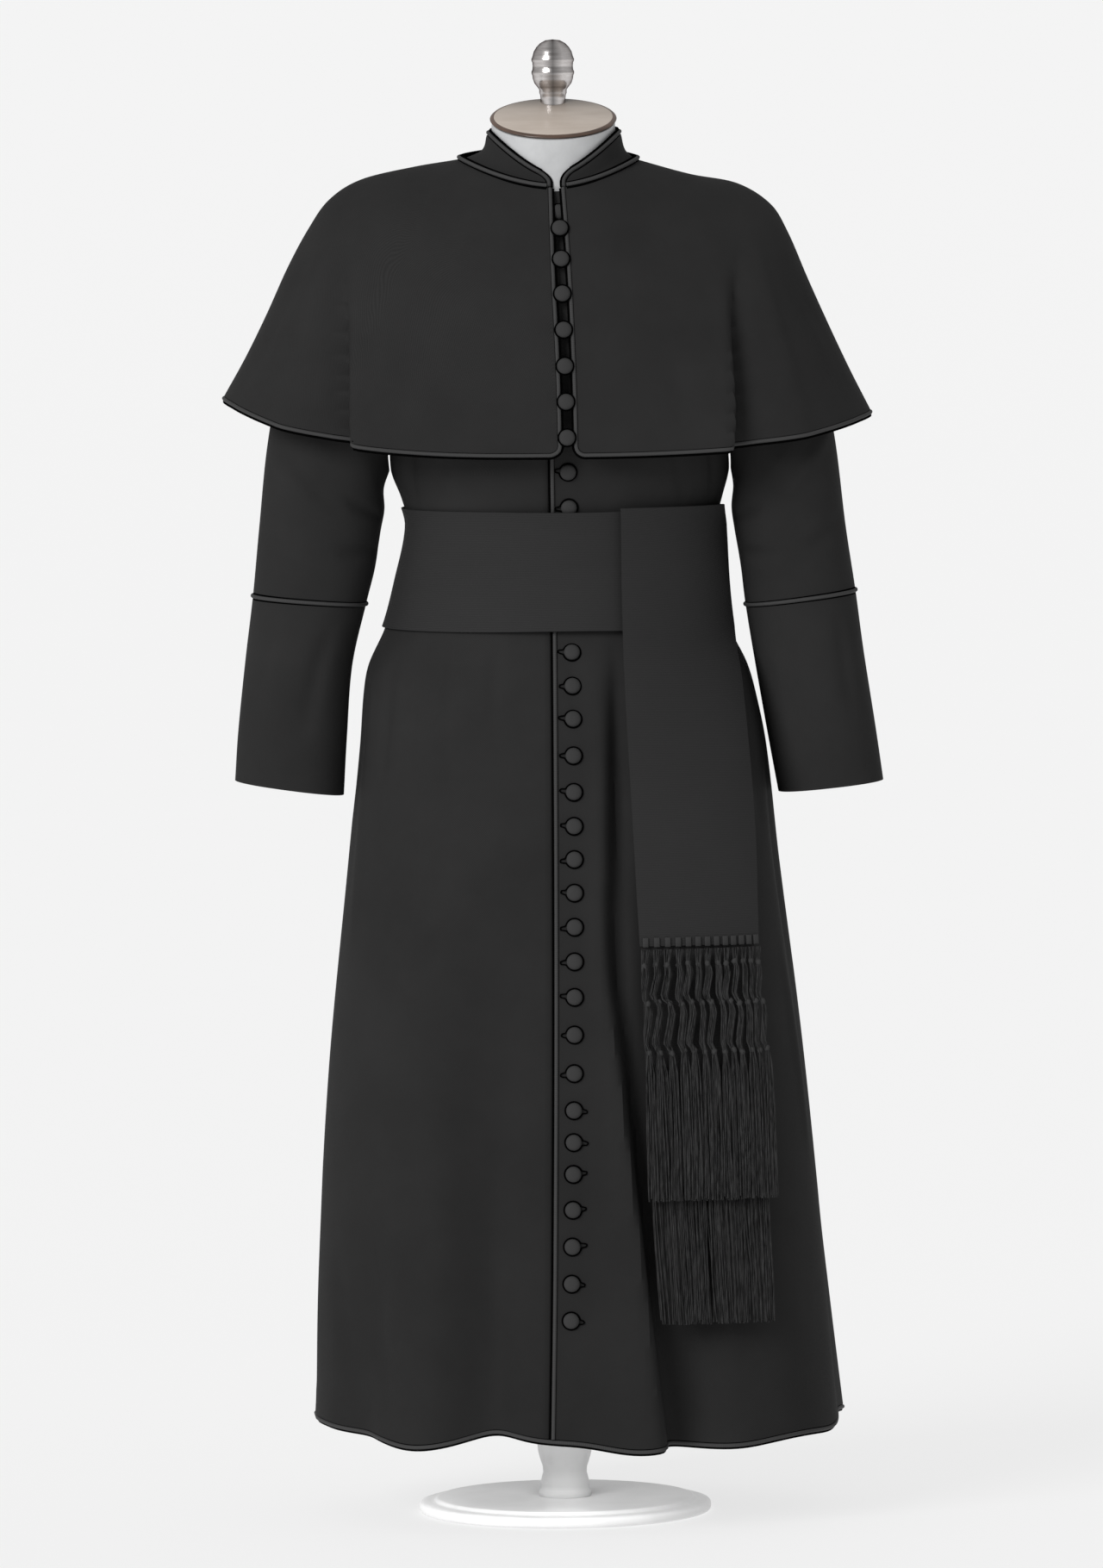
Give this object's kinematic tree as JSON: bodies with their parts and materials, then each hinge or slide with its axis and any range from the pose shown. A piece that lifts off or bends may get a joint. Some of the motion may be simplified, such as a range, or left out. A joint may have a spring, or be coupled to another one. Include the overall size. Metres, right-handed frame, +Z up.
{
  "type": "cassock on a dress form",
  "caption": "Floor-length black clerical cassock with attached shoulder cape, fringed sash and covered buttons, worn by a limbless dress form on a turned stand.",
  "frame": {"origin": "centre of the stand's round underside, on the floor", "axes": "+Z up, the garment's front faces -Y, +X is the wearer's left"},
  "size_m": [0.7244, 0.5033, 1.6299],
  "materials": {
    "wool": "matt black fine twill",
    "piping": "black satin-faced cord, slightly lighter than the cloth",
    "sash": "black ribbed faille, dull sheen",
    "fringe": "black silky twisted fringe",
    "button": "cloth-covered, dark grey black",
    "form_cloth": "light grey cotton cover",
    "wood": "pale varnished wood with a dark brown rim",
    "chrome": "polished",
    "paint": "white-grey enamel"
  },
  "bodies": {
    "root": {"front_left": "wool", "front_right": "wool", "back": "wool", "sleeve_left": "wool", "sleeve_right": "wool", "cuff_left": "wool", "cuff_right": "wool", "collar": "wool", "cape_left": "wool", "cape_right": "wool", "cuff_piping_left": "piping", "cuff_piping_right": "piping", "collar_piping": "piping", "neck_piping": "piping", "cape_piping": "piping", "front_edge_piping": "piping", "hem_piping": "piping", "sash_band": "sash", "sash_end_over": "sash", "sash_end_under": "sash", "fringe_over": "fringe", "fringe_under": "fringe", "button_01": "button", "button_02": "button", "button_03": "button", "button_04": "button", "button_05": "button", "button_06": "button", "button_07": "button", "button_08": "button", "button_09": "button", "button_10": "button", "button_11": "button", "button_12": "button", "button_13": "button", "button_14": "button", "button_15": "button", "button_16": "button", "button_17": "button", "button_18": "button", "button_19": "button", "button_20": "button", "button_21": "button", "button_22": "button", "button_23": "button", "button_24": "button", "button_25": "button", "button_26": "button", "button_27": "button", "button_28": "button", "button_29": "button", "button_30": "button", "button_31": "button", "button_32": "button", "button_33": "button", "form_torso": "form_cloth", "form_neck_cap": "wood", "form_finial": "chrome", "stand_pole": "paint", "stand_base": "paint"}
  },
  "joints": []
}
